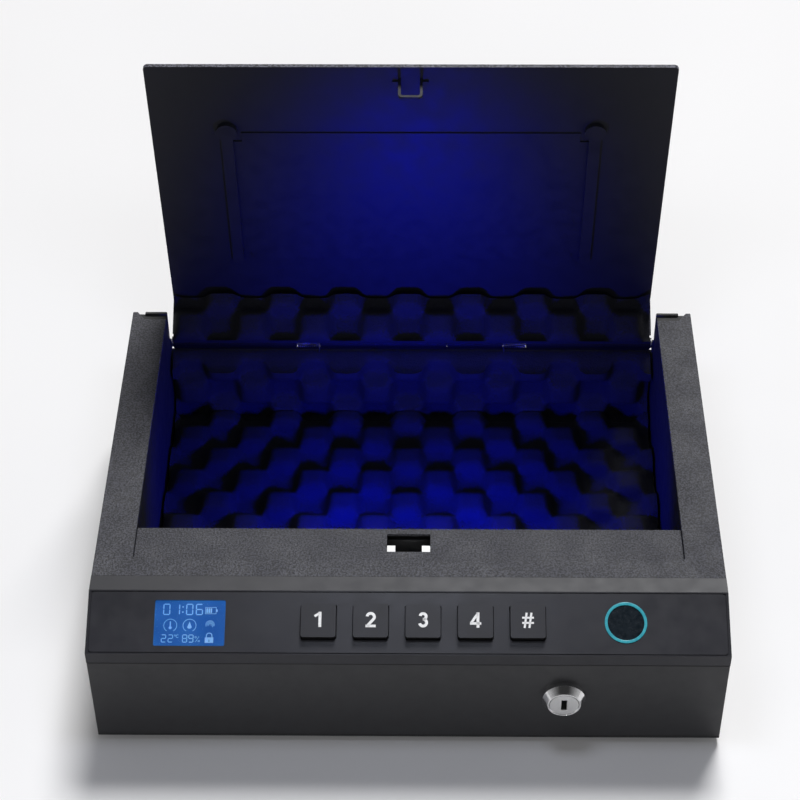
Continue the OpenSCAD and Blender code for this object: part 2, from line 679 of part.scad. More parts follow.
module hinge_leaf_case() color("#2f3034") difference() {
    union() {
        knuckles(case_knuckles);
        block(-leaf_half, leaf_half, case_d, case_d + 2 * leaf_half_t, 36, back_h + 0.4);
        for (k = case_knuckles)
            block(k[0], k[1], case_d, case_d + 2 * leaf_half_t, back_h, hinge_z);
    }
    round_x(bore_r, -leaf_half - 1, leaf_half + 1, hinge_y, hinge_z);
    case_rivet_positions() cylinder(r = 1.45, h = 6, center = true);
}

module hinge_leaf_lid() color("#2f3034") opened() difference() {
    union() {
        knuckles(lid_knuckles);
        bar_x([for (p = [[1, 4.1], [1, 20], [-1, 20], [-1, 4.1]]) on_flange(p[0] * leaf_half_t, p[1])],
            -leaf_half, leaf_half);
        for (k = lid_knuckles)
            bar_x([for (p = [[1, 1], [1, 4.2], [-1, 4.2], [-1, 1]])
                on_flange(p[0] * leaf_half_t, p[1])], k[0], k[1]);
    }
    round_x(bore_r, -leaf_half - 1, leaf_half + 1, hinge_y, hinge_z);
    lid_rivet_positions() cylinder(r = 1.45, h = 6, center = true);
}

module hinge_pin() color("#b9bbbe") {
    gap = 0.1;
    head_t = 0.6;
    round_x(hinge_pin_r, -leaf_half - gap, leaf_half + gap, hinge_y, hinge_z);
    for (x = [-leaf_half - gap - head_t, leaf_half + gap - eps])
        round_x(2.9, x, x + head_t + eps, hinge_y, hinge_z);
}

// Close-wound torsion springs on the pin: one leg bears on the back wall, the other on the lid's flange
module hinge_springs() color("#c7c9cc") {
    coil_r = 2.7;
    wire_r = 0.48;
    turns = 11;
    leg = 9;
    ends = 6;                                     // the legs stand this far each side of the middle
    lean = 90 + flange_a - lid_open;              // the open lid's flange, above level
    sweep = turns * 360 + 90 - lean;
    steps = floor(sweep / 36);
    tip = polar(coil_r, 90 + lean);
    points = concat(
        [for (i = [0:2]) [-ends, -coil_r, -leg + leg * i / 3]],
        [for (i = [0:steps]) let (p = polar(coil_r, 180 - sweep * i / steps))
            [-ends + 2 * ends * i / steps, p[0], p[1]]],
        [for (i = [1:3]) let (p = tip + polar(leg * i / 3, lean)) [ends, p[0], p[1]]]);
    both_sides() translate([spring_x, hinge_y, hinge_z]) wire(points, wire_r);
}

module rivet() {
    cylinder(r1 = 2.8, r2 = 2, h = 1.1);
    translate([0, 0, -2 * leaf_half_t]) cylinder(r = 1.4, h = 2 * leaf_half_t + eps);
}

module case_rivet_positions() for (x = rivet_xs)
    translate([x, half_d + 2 * leaf_half_t, 42]) rotate([-90, 0, 0]) children();

module lid_rivet_positions() for (x = rivet_xs) {
    p = on_flange(-leaf_half_t, 14);
    translate([x, p[0], p[1]]) rotate([flange_a - 90, 0, 0]) children();
}

module hinge_rivets_case() color("#8f9194") case_rivet_positions() rivet();
module hinge_rivets_lid() color("#8f9194") opened() lid_rivet_positions() rivet();

base_pad();
floor_pan();
back_wall();
left_side_shell();
right_side_shell();
top_frame();
latch_deck();
compartment_wall();
front_plate();
control_bezel();
panel_overlay();
display_window();
display_module();
for (i = [0:4]) key_cap(i);
keypad_mat();
main_board();
board_screws();
board_components();
sensor_ring();
fingerprint_sensor();
sensor_board();
lock_barrel();
lock_nut();
lock_plug();
lock_cam();
cam_screw();
transfer_plate();
guide_studs();
latch_bracket();
bracket_screws();
latch_guide();
latch_bolt();
bolt_spring();
solenoid_frame();
solenoid_coil();
solenoid_plunger();
battery_box();
batteries();
battery_cover();
battery_cover_screws();
interior_light();
light_housing();
floor_foam();
back_foam();
lid_panel();
lid_stiffener();
lid_striker();
lid_foam();
hinge_leaf_case();
hinge_leaf_lid();
hinge_pin();
hinge_springs();
hinge_rivets_case();
hinge_rivets_lid();
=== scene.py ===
import json
import math

import bmesh
import bpy
from mathutils import Matrix, Vector


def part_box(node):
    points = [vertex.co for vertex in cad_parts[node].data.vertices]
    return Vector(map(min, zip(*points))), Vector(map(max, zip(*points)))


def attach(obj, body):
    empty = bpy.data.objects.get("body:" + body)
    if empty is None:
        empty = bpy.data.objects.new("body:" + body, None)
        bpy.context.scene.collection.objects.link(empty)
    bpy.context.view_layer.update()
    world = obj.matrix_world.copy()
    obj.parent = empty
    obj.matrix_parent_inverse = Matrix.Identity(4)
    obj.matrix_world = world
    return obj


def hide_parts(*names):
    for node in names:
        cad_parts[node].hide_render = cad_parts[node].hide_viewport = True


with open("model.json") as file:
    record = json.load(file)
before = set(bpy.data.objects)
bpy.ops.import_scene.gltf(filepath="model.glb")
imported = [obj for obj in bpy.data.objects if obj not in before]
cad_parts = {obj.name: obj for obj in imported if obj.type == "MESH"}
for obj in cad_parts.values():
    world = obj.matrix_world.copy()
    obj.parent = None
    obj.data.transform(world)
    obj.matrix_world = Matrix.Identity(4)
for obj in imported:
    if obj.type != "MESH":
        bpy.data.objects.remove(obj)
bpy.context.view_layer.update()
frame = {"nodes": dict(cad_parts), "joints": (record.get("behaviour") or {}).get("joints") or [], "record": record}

MM = 0.001
NODES = frame["nodes"]
X_AXIS = Vector((1, 0, 0))

# ---- the frame's own directions and places ----


def joint(name):
    """The frame's entry for a joint."""
    return next(j for j in frame["joints"] if j["name"] == name)


def reach(node, direction):
    """How far a CAD node reaches along a direction: lowest and highest."""
    along = [v.co.dot(direction) for v in NODES[node].data.vertices]
    return min(along), max(along)


def middle(node):
    """The middle of a CAD node's box."""
    low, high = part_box(node)
    return (low + high) / 2


PANEL_OUT = -Vector(joint("key_1_press")["axis"]).normalized()      # square to the control panel
PANEL_UP = Vector((0, PANEL_OUT.z, -PANEL_OUT.y))                    # up the control panel
PANEL_TOP = reach("panel_overlay", PANEL_OUT)[1]

LID_ANGLE = math.radians(82.5)                                       # the open lid, above level
LID_INWARD = Vector((0, -math.sin(LID_ANGLE), -math.cos(LID_ANGLE)))
FLANGE_ANGLE = math.radians(33)                                      # its rear flange, above level
HINGE = Vector(joint("lid_hinge")["pos_m"])


def on_panel(node, lift=0.0):
    """The middle of a node on the control panel, moved square to the panel to lift above its surface."""
    point = middle(node)
    return point + PANEL_OUT * (PANEL_TOP + lift - point.dot(PANEL_OUT))


def panel_matrix(point):
    """Takes X right, Y up and Z out of a drawing to the control panel, with its origin at a point."""
    return Matrix.Translation(point) @ Matrix((X_AXIS, PANEL_UP, PANEL_OUT)).transposed().to_4x4()


# ---- materials ----


class Finish:
    """A Principled material built up from procedural patterns in the object's own coordinates."""

    USUAL_LOW, USUAL_HIGH = 0.3, 0.7          # a noise pattern seldom leaves this range

    def __init__(self, name, metallic=0.0, **sockets):
        self.material = bpy.data.materials.new(name)
        self.material.use_nodes = True
        self.nodes = self.material.node_tree.nodes
        self.links = self.material.node_tree.links
        self.shader = self.nodes["Principled BSDF"]
        self.shader.inputs["Metallic"].default_value = metallic
        for socket, value in sockets.items():
            self.shader.inputs[socket.replace("_", " ")].default_value = value
        self.place = self.nodes.new("ShaderNodeTexCoord").outputs["Object"]
        self.normal = None

    def scaled(self, size, stretch):
        """Coordinates in units of size metres, drawn out along each axis by stretch."""
        mapping = self.nodes.new("ShaderNodeMapping")
        mapping.inputs["Scale"].default_value = [1 / (size * s) for s in stretch]
        self.links.new(self.place, mapping.inputs["Vector"])
        return mapping.outputs["Vector"]

    def noise(self, size, detail=2.0, stretch=(1, 1, 1)):
        """Clouds about size metres across."""
        node = self.nodes.new("ShaderNodeTexNoise")
        node.inputs["Scale"].default_value = 1.0
        node.inputs["Detail"].default_value = detail
        self.links.new(self.scaled(size, stretch), node.inputs["Vector"])
        return node.outputs["Fac"]

    def cells(self, size, stretch=(1, 1, 1)):
        """Cells about size metres across: 0 in the middle of each, rising to its edge."""
        node = self.nodes.new("ShaderNodeTexVoronoi")
        node.inputs["Scale"].default_value = 1.0
        self.links.new(self.scaled(size, stretch), node.inputs["Vector"])
        return node.outputs["Distance"]

    def ramp(self, pattern, low, high, start=0.35, end=0.65):
        """One colour where the pattern is under start, the other over end, and a blend between."""
        node = self.nodes.new("ShaderNodeValToRGB")
        node.color_ramp.elements[0].position = start
        node.color_ramp.elements[1].position = end
        node.color_ramp.elements[0].color = (*low, 1)
        node.color_ramp.elements[1].color = (*high, 1)
        self.links.new(pattern, node.inputs["Fac"])
        return node.outputs["Color"]

    def colour(self, pattern, low, high, start=0.35, end=0.65, socket="Base Color"):
        """Drives a colour socket of the shader with a ramp over a pattern."""
        self.links.new(self.ramp(pattern, low, high, start, end), self.shader.inputs[socket])
        return self

    def rough(self, pattern, low, high):
        """Varies the roughness with a pattern."""
        node = self.nodes.new("ShaderNodeMapRange")
        node.inputs["From Min"].default_value = self.USUAL_LOW
        node.inputs["From Max"].default_value = self.USUAL_HIGH
        node.inputs["To Min"].default_value = low
        node.inputs["To Max"].default_value = high
        self.links.new(pattern, node.inputs["Value"])
        self.links.new(node.outputs["Result"], self.shader.inputs["Roughness"])
        return self

    def facing(self, way, low, high):
        """0 where the surface looks away from a direction and 1 where it looks along it."""
        looks = self.nodes.new("ShaderNodeVectorMath")
        looks.operation = "DOT_PRODUCT"
        looks.inputs[1].default_value = way
        self.links.new(self.nodes.new("ShaderNodeTexCoord").outputs["Normal"], looks.inputs[0])
        mask = self.nodes.new("ShaderNodeMapRange")
        mask.inputs["From Min"].default_value = low
        mask.inputs["From Max"].default_value = high
        self.links.new(looks.outputs["Value"], mask.inputs["Value"])
        return mask.outputs["Result"]

    def two_tone_and_painted_light(self, mask, first, second):
        """The first colour where the mask is 0 and the second where it is 1."""
        mix = self.nodes.new("ShaderNodeMix")
        mix.data_type = "RGBA"
        self.links.new(mask, mix.inputs["Factor"])
        self.links.new(first, mix.inputs["A"])
        self.links.new(second, mix.inputs["B"])
        self.links.new(mix.outputs["Result"], self.shader.inputs["Base Color"])
        return self

    def bump(self, pattern, height, strength=1.0):
        """Adds relief of a height in metres on top of any added before."""
        node = self.nodes.new("ShaderNodeBump")
        node.inputs["Strength"].default_value = strength
        node.inputs["Distance"].default_value = height
        self.links.new(pattern, node.inputs["Height"])
        if self.normal:
            self.links.new(self.normal, node.inputs["Normal"])
        self.normal = node.outputs["Normal"]
        self.links.new(self.normal, self.shader.inputs["Normal"])
        return self


def grey(level, tint=(1, 1, 1)):
    return tuple(level * t for t in tint)


COOL = (0.97, 0.98, 1.08)        # tints, as factors on a grey's red, green and blue
VIOLET = (0.97, 0.98, 1.24)
NIGHT = (0.9, 0.95, 1.5)


def powder_coat(name, level, grain, height, contrast=0.3, roughness=0.55, shine=0.5, tint=COOL,
                band=(0.36, 0.66)):
    """Sprayed and baked paint: an orange-peel skin whose colour follows its relief, painted lighter on the crests
    and darker in the hollows as highlight and shade.
    """
    f = Finish(name, Specular_IOR_Level=shine)
    skin = f.noise(grain, detail=3)
    # painted highlight and shade: the noise that raises the skin also lightens its crests and darkens its hollows
    f.colour(skin, grey(level * (1 - contrast), tint), grey(level * (1 + contrast), tint), *band)
    f.rough(f.noise(18 * grain), roughness - 0.06, roughness + 0.08)
    f.bump(f.cells(1.5 * grain), 0.4 * height)
    return f.bump(skin, height)


def moulded(name, level, grain=0.35 * MM, height=0.012 * MM, roughness=0.42, shine=0.5, tint=COOL):
    """Injection moulded plastic with a fine spark-eroded grain."""
    f = Finish(name, Specular_IOR_Level=shine)
    cloud = f.noise(25 * MM, detail=3)
    f.colour(cloud, grey(level * 0.9, tint), grey(level * 1.1, tint))
    f.rough(f.noise(9 * MM), roughness - 0.04, roughness + 0.05)
    return f.bump(f.noise(grain, detail=2), height)


def key_cap(name, face, side_shade, tint):
    """Key with a satin face; its sides, told apart by which way the surface looks, are painted near-black as the
    shade they stand in.
    """
    f = Finish(name, Specular_IOR_Level=0.4)
    cloud = f.noise(12 * MM, detail=3)
    satin = f.ramp(cloud, grey(face * 0.93, tint), grey(face * 1.07, tint))
    # painted shade: the sides that look away from the panel get a near-black colour in place of their shade
    black = f.ramp(cloud, grey(side_shade * 0.8, tint), grey(side_shade * 1.2, tint))
    f.two_tone_and_painted_light(f.facing(PANEL_OUT, 0.55, 0.75), black, satin)
    f.rough(f.noise(9 * MM), 0.42, 0.5)
    return f.bump(f.noise(0.35 * MM), 0.01 * MM)


def lid_sheet(name, outside_and_lit_edge, inside, grain):
    """Textured paint on the outer face and the edges, made brighter than the body's textured paint so the lid's
    edge band shows as a painted highlight; plain dark paint inside.
    """
    f = Finish(name, Specular_IOR_Level=0.2)
    skin = f.noise(grain, detail=3)
    plain = f.noise(0.45 * MM, detail=3)
    # partly painted highlight: real textured paint, lightened so the lit edge band comes from its colour
    textured = f.ramp(skin, grey(outside_and_lit_edge * 0.2, VIOLET), grey(outside_and_lit_edge * 1.8, VIOLET), 0.42, 0.6)
    dark = f.ramp(plain, grey(inside * 0.92, NIGHT), grey(inside * 1.08, NIGHT))
    f.two_tone_and_painted_light(f.facing(LID_INWARD, 0.35, 0.6), textured, dark)
    f.rough(f.noise(9 * MM), 0.46, 0.56)
    return f.bump(plain, 0.02 * MM)


def bright_metal(name, level, roughness, grain=(1, 1, 14), size=0.18 * MM, tint=(1, 1, 1),
                 height=0.004 * MM):
    """Metal with fine tool marks drawn out along one axis."""
    f = Finish(name, metallic=1.0)
    marks = f.noise(size, detail=3, stretch=grain)
    f.colour(marks, grey(level * 0.88, tint), grey(level, tint))
    f.rough(f.noise(3 * MM), roughness, roughness + 0.1)
    return f.bump(marks, height)


def foam():
    """Open-cell foam: pores over a slightly uneven skin, each pore painted darker in its middle as the shade in
    its hollow.
    """
    f = Finish("convoluted_foam", Specular_IOR_Level=0.2)
    pores = f.cells(0.75 * MM)
    # painted shade: darker in the middle of each pore, where its hollow is
    f.colour(pores, grey(0.0035, NIGHT), grey(0.0075, NIGHT), 0.1, 0.6)
    f.rough(f.noise(5 * MM), 0.85, 0.97)
    f.bump(f.noise(3 * MM, detail=4), 0.25 * MM)
    return f.bump(pores, 0.18 * MM)


def display_backlight():
    """Evenly lit blue panel, a little brighter where the lamps sit."""
    f = Finish("display_backlight", Roughness=0.3, Specular_IOR_Level=0.2, Emission_Strength=0.42)
    glow = f.noise(22 * MM, detail=1)
    f.colour(glow, (0.01, 0.05, 0.2), (0.012, 0.06, 0.24))
    return f.colour(glow, (0.012, 0.12, 0.42), (0.022, 0.17, 0.54), socket="Emission Color")


def display_ink():
    """The lit figures, paler than the panel behind them."""
    f = Finish("display_segments", Roughness=0.4, Emission_Strength=0.3)
    glow = f.noise(12 * MM)
    f.colour(glow, (0.16, 0.34, 0.6), (0.2, 0.4, 0.66))
    return f.colour(glow, (0.22, 0.5, 0.82), (0.3, 0.58, 0.9), socket="Emission Color")


def light_lens():
    """Diffusing blue lens with the lamps showing through as soft spots."""
    f = Finish("light_lens", Roughness=0.25, Emission_Strength=3.0)
    lamps = f.noise(7 * MM, detail=0, stretch=(1, 6, 6))
    f.colour(lamps, (0.02, 0.03, 0.4), (0.05, 0.08, 0.7))
    return f.colour(lamps, (0.01, 0.02, 0.5), (0.05, 0.08, 1.0), socket="Emission Color")


def glass(name, tint=(0.92, 0.95, 1.0), roughness=0.03):
    """Window with a coating against reflections."""
    f = Finish(name, Transmission_Weight=1.0, IOR=1.12)
    smear = f.noise(15 * MM, detail=3)
    f.colour(smear, tint, (1, 1, 1))
    return f.rough(smear, roughness, roughness + 0.03)


def sensor_glass():
    """Near-black glass of the fingerprint reader."""
    f = Finish("sensor_glass", Specular_IOR_Level=0.35)
    f.colour(f.noise(4 * MM), (0.004, 0.008, 0.012), (0.007, 0.012, 0.017))
    return f.rough(f.noise(2 * MM), 0.2, 0.3)


def sensor_ring_metal():
    """Translucent ring lit from behind in cyan."""
    f = Finish("sensor_ring", Emission_Strength=0.5)
    band = f.noise(2 * MM)
    f.colour(band, (0.02, 0.10, 0.13), (0.03, 0.13, 0.16))
    f.colour(band, (0.015, 0.36, 0.46), (0.03, 0.48, 0.58), socket="Emission Color")
    return f.rough(f.noise(0.6 * MM), 0.25, 0.38)


def circuit_board():
    """Green solder mask, lighter where tracks run under it."""
    f = Finish("circuit_board", Coat_Weight=0.3)
    tracks = f.cells(2.2 * MM)
    f.colour(tracks, (0.01, 0.09, 0.03), (0.02, 0.16, 0.06), 0.25, 0.3)
    f.rough(f.noise(2 * MM), 0.3, 0.42)
    return f.bump(tracks, 0.03 * MM)


def rubber(name, level):
    """Dull rubber with a fine matt skin."""
    f = Finish(name)
    f.colour(f.noise(2 * MM, detail=4), grey(level * 0.8), grey(level * 1.2))
    f.rough(f.noise(6 * MM), 0.75, 0.9)
    return f.bump(f.noise(0.5 * MM, detail=4), 0.05 * MM)


def coil_tape():
    """Taped winding: turns showing through under the tape."""
    f = Finish("coil_tape", Coat_Weight=0.3)
    turns = f.noise(0.35 * MM, detail=0, stretch=(40, 1, 40))
    f.colour(turns, (0.32, 0.11, 0.025), (0.55, 0.22, 0.06))
    f.rough(f.noise(2 * MM), 0.35, 0.5)
    return f.bump(turns, 0.06 * MM)


def white_ink():
    """Screen-printed white, slightly worn."""
    f = Finish("legend_ink")
    wear = f.noise(0.8 * MM, detail=3)
    f.colour(wear, grey(0.78), grey(0.9))
    return f.rough(wear, 0.4, 0.5)


SLOT_FINISHES = {
    "rubber": rubber("rubber_pad", 0.012),
    "shell_paint": powder_coat("shell_paint", 0.014, 0.5 * MM, 0.03 * MM, contrast=0.12, shine=0.3),
    # contrast 0.65 makes the painted highlight and shade on the orange peel strong
    "textured_paint": powder_coat("textured_paint", 0.034, 0.9 * MM, 0.45 * MM, contrast=0.65,
                                  roughness=0.6, tint=VIOLET, band=(0.42, 0.6)),
    "satin_paint": powder_coat("satin_paint", 0.022, 0.4 * MM, 0.01 * MM, contrast=0.05,
                               roughness=0.46, shine=0.35),
    "lid_paint": powder_coat("lid_paint", 0.0065, 0.45 * MM, 0.02 * MM, contrast=0.08, roughness=0.5,
                             shine=0.2, tint=NIGHT),
    # partly painted shade: near-black and dull, darker than the lid's paint, so the hinge row in the crease
    # between lid and back stays dark
    "hinge_paint": powder_coat("hinge_paint", 0.0035, 0.4 * MM, 0.02 * MM, contrast=0.1, shine=0.06),
    "bezel_plastic": moulded("bezel_plastic", 0.018, roughness=0.45, shine=0.3, tint=VIOLET),
    "overlay_film": moulded("overlay_film", 0.020, roughness=0.4, shine=0.4, tint=VIOLET),
    # the second level is painted shade on the key sides
    "key_plastic": key_cap("key_plastic", 0.018, 0.0015, VIOLET),
    "component_plastic": moulded("component_plastic", 0.012, roughness=0.5, shine=0.3),
    "white_nylon": moulded("white_nylon", 0.8, roughness=0.4, tint=(1, 1, 0.99)),
    "silicone": rubber("silicone", 0.2),
    "display_glass": glass("display_glass"),
    "display_backlight": display_backlight(),
    "sensor_glass": sensor_glass(),
    "sensor_ring_metal": sensor_ring_metal(),
    "circuit_board": circuit_board(),
    "lock_chrome": bright_metal("lock_chrome", 0.75, 0.05, size=0.8 * MM, height=0.0005 * MM),
    "lock_satin": bright_metal("lock_satin", 0.6, 0.28, grain=(1, 1, 1), size=0.12 * MM),
    "zinc_steel": bright_metal("zinc_steel", 0.55, 0.3, tint=(0.98, 1.0, 1.03)),
    "spring_steel": bright_metal("spring_steel", 0.12, 0.35, grain=(8, 1, 1)),
    "coil_copper": coil_tape(),
    "battery_sleeve": moulded("battery_sleeve", 0.12, roughness=0.35, tint=(0.5, 1.2, 0.7)),
    "light_lens": light_lens(),
    "foam": foam(),
}


def paint(obj, finish):
    """Gives an object one material in place of any it has."""
    obj.data.materials.clear()
    obj.data.materials.append(finish.material)


for part in frame["record"]["subparts"]:
    paint(NODES[part["node"]], SLOT_FINISHES[part["material_slot"]])
# 0.075 is the textured paint lightened as a painted highlight on the lid's edge band
paint(NODES["lid_panel"], lid_sheet("lid_sheet", 0.075, 0.0065, 0.8 * MM))

# ---- edges of the carried-over CAD nodes ----

EDGE_RADII = {
    0.9: ["left_side_shell", "right_side_shell"],
    0.8: ["control_bezel"],
    0.5: ["front_plate", "top_frame", "battery_cover", "base_pad", "lid_panel"],
    0.4: ["key_1", "key_2", "key_3", "key_4", "key_hash", "lid_stiffener", "floor_pan"],
    0.25: ["latch_deck", "lid_striker", "lock_barrel", "lock_plug", "latch_guide", "latch_bolt",
           "hinge_leaf_case", "hinge_leaf_lid", "sensor_ring", "fingerprint_sensor"],
    0.12: ["panel_overlay", "display_window", "transfer_plate", "solenoid_frame", "lock_nut",
           "hinge_pin", "hinge_rivets_case", "hinge_rivets_lid", "battery_cover_screws",
           "interior_light", "compartment_wall", "back_wall"],
}


WELD_DISTANCE = 0.001 * MM
SHARP_EDGE = math.radians(35)


def ease_edges(node, radius):
    """Rounds a CAD node's sharp edges, as the bend, mould or polish on the real piece does."""
    obj = NODES[node]
    weld = obj.modifiers.new("weld", "WELD")
    weld.merge_threshold = WELD_DISTANCE
    bevel = obj.modifiers.new("eased_edges", "BEVEL")
    bevel.width = radius * MM
    bevel.segments = 3
    bevel.limit_method = "ANGLE"
    bevel.angle_limit = SHARP_EDGE
    bevel.miter_outer = "MITER_ARC"
    obj.modifiers.new("shading", "WEIGHTED_NORMAL").keep_sharp = True


for radius, nodes in EDGE_RADII.items():
    for node in nodes:
        ease_edges(node, radius)

# ---- building pieces ----


def new_piece(name, bm, finish, body, smooth=False):
    """Makes an object from a finished bmesh and lets it ride on a body."""
    bmesh.ops.recalc_face_normals(bm, faces=bm.faces)
    mesh = bpy.data.meshes.new(name)
    bm.to_mesh(mesh)
    bm.free()
    if smooth:
        mesh.shade_smooth()
    obj = bpy.data.objects.new(name, mesh)
    bpy.context.scene.collection.objects.link(obj)
    paint(obj, finish)
    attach(obj, body)
    return obj


# ---- convoluted foam ----

FOAM_PITCH = 34.9 * MM           # from one bump to the next in a row
FOAM_PHASE = -1.9 * MM           # how far the bumps are off the middle of the safe
FOAM_STEP = 1.7 * MM             # spacing of the mesh
FOAM_SQUARENESS = 2.5            # more gives flatter tops and steeper sides
FOAM_CREASE = math.radians(55)   # edges sharper than this stay crisp
CUT = 0.02 * MM                  # a sudden step in a pad is this wide


def wave(u, v):
    """A chequerboard of square-shouldered bumps: -1 in a hollow, 1 on a bump."""
    turn = 2 * math.pi / FOAM_PITCH
    across = math.tanh(FOAM_SQUARENESS * math.cos(turn * u))
    along = math.tanh(FOAM_SQUARENESS * math.cos(turn * v))
    return across * along / math.tanh(FOAM_SQUARENESS) ** 2


def steps(low, high, extra=()):
    """Even mesh lines from low to high, with extra ones where the shape has a break."""
    count = round((high - low) / FOAM_STEP)
    even = [low + (high - low) * i / count for i in range(count + 1)]
    return sorted(set(even) | set(extra))


def foam_pad(name, node, body, origin, up, out, us, vs, front, back=lambda v: 0.0):
    """A pad with a convoluted face. A point is origin + u along X + v along up + n along out."""
    bm = bmesh.new()

    def layer(height):
        return [[bm.verts.new(origin + X_AXIS * u + up * v + out * height(u, v)) for u in us] for v in vs]

    faces = layer(front), layer(lambda _, v: back(v))
    for grid in faces:
        for low, high in zip(grid, grid[1:]):
            for i in range(len(us) - 1):
                bm.faces.new((low[i], low[i + 1], high[i + 1], high[i]))
    top, bottom = faces
    for j in range(len(vs) - 1):
        for side in (0, -1):
            bm.faces.new((top[j][side], top[j + 1][side], bottom[j + 1][side], bottom[j][side]))
    for i in range(len(us) - 1):
        for end in (0, -1):
            bm.faces.new((top[end][i], top[end][i + 1], bottom[end][i + 1], bottom[end][i]))
    pad = new_piece(name, bm, SLOT_FINISHES["foam"], body, smooth=True)
    pad.modifiers.new("edge_split", "EDGE_SPLIT").split_angle = FOAM_CREASE
    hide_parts(node)
    return pad


def bumps(valley, peak, row=0.0):
    """Height of a convoluted face over its flat back."""
    mid, half = (peak + valley) / 2, (peak - valley) / 2
    return lambda u, v: mid + half * wave(u - FOAM_PHASE, v - row)


def floor_foam():
    """The pad on the floor."""
    low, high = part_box("floor_foam")
    valley = 6 * MM
    foam_pad("floor_foam_pad", "floor_foam", "case", Vector((0, 0, low.z)), Vector((0, 1, 0)),
             Vector((0, 0, 1)), steps(low.x, high.x), steps(low.y, high.y),
             bumps(valley, high.z - low.z, row=high.y))


def back_foam():
    """The pad on the back wall. Its top slopes down to the front, to let the closed lid's foam in."""
    low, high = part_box("back_foam")
    thick = high.y - low.y
    valley = 5.5 * MM
    brow = high.z - 4.5 * MM
    shelf = thick - 4.2 * MM
    rim = 0.7 * MM
    face = bumps(valley, thick, row=brow)

    def front(u, v):
        if v <= brow:
            return face(u, v)
        return min(face(u, v), shelf * (high.z - v) / (high.z - brow) + rim)

    foam_pad("back_foam_pad", "back_foam", "case", Vector((0, high.y, 0)), Vector((0, 0, 1)),
             Vector((0, -1, 0)), steps(low.x, high.x),
             steps(low.z, high.z, extra=(brow, brow + CUT)), front)


def lid_foam():
    """The pad on the lid's flange. Its back steps out, to clear the hinge knuckles and spring legs."""
    low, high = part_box("lid_foam")
    up = Vector((0, math.cos(FLANGE_ANGLE), math.sin(FLANGE_ANGLE)))
    out = Vector((0, -up.z, up.y))
    hinge_up, hinge_out = HINGE.dot(up), HINGE.dot(out)
    start, end = (r - hinge_up for r in reach("lid_foam", up))
    flat, peak = (r - hinge_out for r in reach("lid_foam", out))
    valley = flat + 3.5 * MM
    step = 11 * MM
    relief = flat + 2.7 * MM
    foam_pad("lid_foam_pad", "lid_foam", "lid", HINGE.copy(), up, out, steps(low.x, high.x),
             steps(start, end, extra=(step, step + CUT)),
             bumps(valley, peak, row=end),
             back=lambda v: relief if v <= step else flat)


floor_foam()
back_foam()
lid_foam()

# ---- drawings printed on keys and shown on the display ----

# The lit segments of each figure: a to f run clockwise from the top, and g is across the middle
SEGMENTS = {"0": "abcdef", "1": "bc", "2": "abged", "6": "acdefg", "8": "abcdefg", "9": "abcdfg"}


class Drawing:
    """Flat shapes given in millimetres, each raised into a thin solid."""

    def __init__(self, thick):
        self.bm = bmesh.new()
        self.thick = thick

    def shape(self, outline):
        face = self.bm.faces.new([self.bm.verts.new((x * MM, y * MM, 0)) for x, y in outline])
        raised = bmesh.ops.extrude_face_region(self.bm, geom=[face])["geom"]
        bmesh.ops.translate(self.bm, vec=(0, 0, self.thick),
                            verts=[v for v in raised if isinstance(v, bmesh.types.BMVert)])

    def bar(self, x0, y0, x1, y1):
        """A rectangle from its lower left corner to its upper right."""
        self.shape([(x0, y0), (x1, y0), (x1, y1), (x0, y1)])

    def stroke(self, points, width):
        """A band of even width along a line of points, mitred at its bends."""
        line = [Vector(p) for p in points]
        ways = [(b - a).normalized() for a, b in zip(line, line[1:])]
        sides = []
        for point, way_in, way_out in zip(line, ways[:1] + ways, ways + ways[-1:]):
            square = Vector((-way_out.y, way_out.x))
            mitre = (square + Vector((-way_in.y, way_in.x))).normalized()
            reach_out = mitre * width / 2 / mitre.dot(square)
            sides.append((point - reach_out, point + reach_out))
        for a, b in zip(sides, sides[1:]):
            self.shape([a[0], b[0], b[1], a[1]])

    def arc(self, x, y, radius, width, start=0, end=360, count=28):
        """A band round a centre from one angle to another."""
        angles = [math.radians(start + (end - start) * i / count) for i in range(count + 1)]
        self.stroke([(x + radius * math.cos(a), y + radius * math.sin(a)) for a in angles], width)

    def disc(self, x, y, radius, count=20):
        """A filled circle."""
        self.shape([(x + radius * math.cos(2 * math.pi * i / count),
                     y + radius * math.sin(2 * math.pi * i / count)) for i in range(count)])

    def digit(self, figure, x, y, w, h, t):
        """A seven-segment figure with its lower left corner at x, y."""
        gap = 0.12 * t
        mid = y + h / 2

        def level(at):
            return [(x + gap + t / 2, at), (x + gap + t, at + t / 2), (x + w - gap - t, at + t / 2),
                    (x + w - gap - t / 2, at), (x + w - gap - t, at - t / 2), (x + gap + t, at - t / 2)]

        def upright(at, low, high):
            return [(at, low + gap), (at + t / 2, low + gap + t / 2), (at + t / 2, high - gap - t / 2),
                    (at, high - gap), (at - t / 2, high - gap - t / 2), (at - t / 2, low + gap + t / 2)]

        left, right, bottom, top = x + t / 2, x + w - t / 2, y + t / 2, y + h - t / 2
        outlines = {"a": level(top), "g": level(mid), "d": level(bottom),
                    "f": upright(left, mid, top), "b": upright(right, mid, top),
                    "e": upright(left, bottom, mid), "c": upright(right, bottom, mid)}
        for segment in SEGMENTS[figure]:
            self.shape(outlines[segment])

    def finish(self, name, origin, finish, body):
        """Lays the drawing on the control panel with its own origin at a point."""
        bmesh.ops.transform(self.bm, matrix=panel_matrix(origin), verts=self.bm.verts)
        return new_piece(name, self.bm, finish, body)


# ---- key legends ----

LEGEND_H = 7.6                   # millimetres, as all drawings are
LEGEND_STROKE = 1.4
LEGEND_INK = 0.05 * MM


def draw_one(d, h, t):
    d.bar(0.1, 0, 0.1 + t, h)
    d.stroke([(-1.8, 0.7 * h), (0.1 + t / 2, h - 0.4 * t)], 0.85 * t)


